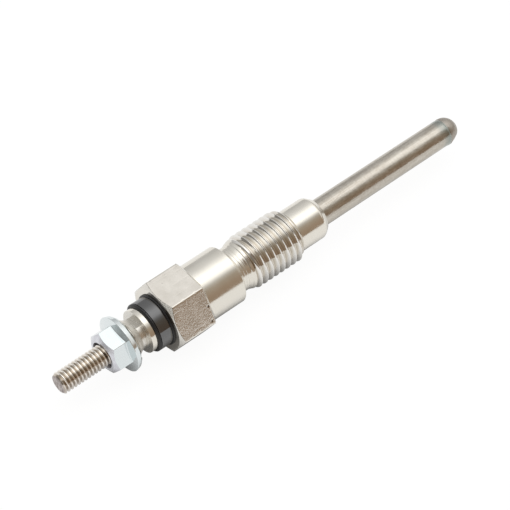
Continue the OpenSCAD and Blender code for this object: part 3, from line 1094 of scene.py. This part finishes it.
def make_nut():
    """Hexagon nut on a conical flange with a ratchet of teeth on its bearing face."""
    tooth = TURN / TEETH
    marks = np.array([0, TOOTH_STEP / 2, TOOTH_STEP, 0.3, 0.5, 0.7, 0.9]) * tooth
    teeth = (np.arange(TEETH)[:, None] * tooth + marks[None, :]).ravel() + TOOTH_TURN
    angles = np.concatenate([hex_columns(NUT_TURN)[:-1], teeth])
    angles = np.unique(np.round(angles % TURN, 6))
    angles = np.append(angles, angles[0] + TURN)
    outer = hex_radius(angles - NUT_TURN, NUT_FLAT, NUT_CORNER)
    share = ((angles - TOOTH_TURN) % tooth) / tooth
    climb = (share - TOOTH_STEP) / (1 - TOOTH_STEP)
    depth = TOOTH_DEPTH * np.where(share < TOOTH_STEP, 1 - share / TOOTH_STEP, climb)
    rim_x = NUT_BACK - FLANGE_RIM
    back = NUT_BACK + FLANGE_REACH
    slope = FLANGE_RISE / (FLANGE_R - NUT_FLAT)
    outlines = []
    for r, cut in zip(outer, depth):
        outlines.append(soften([
            (back - BACK_SINK_LEN, BORE_R, 0),
            (NUT_FRONT + SINK_LEN, BORE_R, 0.02),
            (NUT_FRONT, BORE_R + SINK_RISE, 0.04),
            (NUT_FRONT, NUT_FACE_R, 0.06),
            (NUT_FRONT + (r - NUT_FACE_R) * NUT_CHAMFER, r, 0.06),
            (rim_x - FLANGE_RISE + (r - NUT_FLAT) * slope, r, 0.14),
            (rim_x, FLANGE_R, 0.09),
            (rim_x + FLANGE_EDGE, FLANGE_EDGE_R, 0.3),
            (back - cut, FLANGE_BACK_R + cut * 0.3, 0.05),
            (back - cut * 0.4, TOOTH_MID_R, 0.05),
            (back, TOOTH_ROOT_R, 0.05),
            (back, BORE_R + BACK_SINK_RISE, 0.04),
        ], closed=True))
    grid = sweep(outlines, angles)
    sink_row = 1 + ARC_POINTS + ARC_STEPS // 2
    chamfer_row = 2 + 3 * ARC_POINTS
    shell = Shell()
    shell.add(grid[chamfer_row:], bright_zinc())
    # The bore and countersinks take the colour of painted shade
    shell.add(np.concatenate([grid[-1:], grid[:sink_row + 1]]), bore_painted_shade())
    # The front face and chamfer take the colour of painted shade
    shell.add(grid[sink_row:chamfer_row + 1], dull_zinc_painted_shade())
    place(shell.build("flange_nut"), "terminal_nut")


def dress_inner_nodes():
    """Looks of the CAD nodes inside the plug."""
    wire = resistance_wire()
    rubber = seal_rubber()
    looks = {
        "heating_coil": wire,
        "regulating_coil": wire,
        "magnesia_filling": packed_magnesia(),
        "tube_seal": rubber,
        "o_ring": rubber,
    }
    for node, look in looks.items():
        slots = frame["nodes"][node].data.materials
        slots.clear()
        slots.append(look)


# Stage, light and camera

def make_floor():
    """Pale floor. Its own light keeps it white, and the lit share keeps the plug's shadow.

    In mirrored rays its glow is darkened close to the place where the plug lies: painted shade from
    ambient occlusion.
    """
    bpy.ops.mesh.primitive_plane_add(size=FLOOR_SIZE * MM, location=(0, 0, FLOOR_Z * MM))
    floor = bpy.context.object
    floor.name = "floor"
    n = Surface("pale_floor")
    n.tree.nodes.remove(n.shader)
    path = n.add("ShaderNodeLightPath").outputs
    mirrored = n.math("ADD", path["Is Glossy Ray"], path["Is Transmission Ray"], clamp=True)
    direct = n.math("MULTIPLY", path["Is Camera Ray"], GLOW_SEEN)
    share = n.math("ADD", direct, n.math("MULTIPLY", mirrored, GLOW_MIRRORED), clamp=True)
    reach = {"Distance": CONTACT_REACH * MM}
    open_sky = n.add("ShaderNodeAmbientOcclusion", reach, samples=8).outputs["AO"]
    # Painted shade: the glow seen in mirrored rays falls with ambient occlusion near the plug
    painted_contact_shade = n.between(open_sky, 0.3, 0.85, 0.12, 1.05)
    strength = n.mix_value(mirrored, FLOOR_GLOW, painted_contact_shade)
    lit = n.add("ShaderNodeBsdfDiffuse", {"Color": (0.94, 0.94, 0.94, 1)})
    glow = n.add("ShaderNodeEmission", {"Color": (1, 1, 1, 1), "Strength": strength})
    mixed = n.add("ShaderNodeMixShader", {0: share, 1: lit.outputs[0], 2: glow.outputs[0]})
    n.tree.links.new(mixed.outputs[0], n.tree.nodes["Material Output"].inputs["Surface"])
    floor.data.materials.append(n.material)


def make_world():
    """A studio round the plug: a soft light overhead, a grey wall behind, a warm dim room in front.

    The light ends before both ends of the room, with a dimmer one at the heater's end, and the place
    of the camera is dark.
    """
    world = bpy.data.worlds.new("studio")
    bpy.context.scene.world = world
    world.use_nodes = True
    n = Nodes(world.node_tree)
    way = n.add("ShaderNodeTexCoord").outputs["Generated"]
    axes = n.add("ShaderNodeSeparateXYZ", {0: way}).outputs
    front = n.math("MULTIPLY", axes["Y"], -1.0)
    climb = n.math("DIVIDE", n.math("ARCTAN2", axes["Z"], front), math.pi)
    # Colour of the light by its angle in degrees, up from the level in front to the level behind
    stops = [
        (0, (0.36, 0.27, 0.20)),
        (23, (0.38, 0.29, 0.215)),
        (46, (0.43, 0.37, 0.30)),
        (58, (0.60, 0.575, 0.54)),
        (67, (0.97, 0.96, 0.94)),
        (75, (1.45, 1.45, 1.45)),
        (86, (1.65, 1.65, 1.65)),
        (99, (1.65, 1.65, 1.65)),
        (107, (1.43, 1.43, 1.43)),
        (119, (1.10, 1.10, 1.10)),
        (132, (0.83, 0.83, 0.83)),
        (164, (0.62, 0.62, 0.62)),
        (180, (0.58, 0.58, 0.58)),
    ]
    sky = n.ramp(climb, [(angle / 180, colour) for angle, colour in stops])
    near_end = n.between(axes["X"], -0.5, -0.75, 0.0, 0.85)
    sky = n.mix(near_end, sky, (0.185, 0.17, 0.15))
    far_end = n.between(axes["X"], 0.75, 0.95, 0.0, 0.75)
    sky = n.mix(far_end, sky, (0.30, 0.27, 0.24))
    far_height = n.between(axes["Z"], 0.1, 0.4, 0.0, 0.85)
    far_light = n.math("MULTIPLY", n.between(axes["X"], 0.55, 0.85), far_height)
    sky = n.mix(far_light, sky, (1.10, 1.08, 1.05))
    toward = n.add("ShaderNodeVectorMath", {0: way, 1: view_direction()}, operation="DOT_PRODUCT")
    wide, narrow = (math.cos(math.radians(angle)) for angle in CAMERA_SHADE)
    near = n.between(toward.outputs["Value"], wide, narrow)
    sky = n.mix(near, sky, (0.27, 0.22, 0.18))
    background = n.tree.nodes["Background"]
    n.tree.links.new(sky, background.inputs["Color"])
    background.inputs["Strength"].default_value = 1.0


def make_camera():
    """The view of the photograph."""
    data = bpy.data.cameras.new("view")
    data.sensor_fit = "HORIZONTAL"
    data.angle = math.radians(VIEW_ANGLE)
    data.clip_start = 0.01
    camera = bpy.data.objects.new("view", data)
    away = view_direction()
    camera.location = (Vector(VIEW_TARGET) + away * VIEW_DISTANCE) * MM
    camera.rotation_euler = away.to_track_quat("Z", "Y").to_euler()
    bpy.context.scene.collection.objects.link(camera)
    bpy.context.scene.camera = camera


plating = (turned_nickel(), satin_nickel())
make_housing(*plating)
make_heater_tube()
make_electrode()
make_insulator()
make_collar(*plating)
make_nut()
dress_inner_nodes()
make_floor()
make_world()
make_camera()
bpy.context.scene.view_settings.view_transform = "Standard"
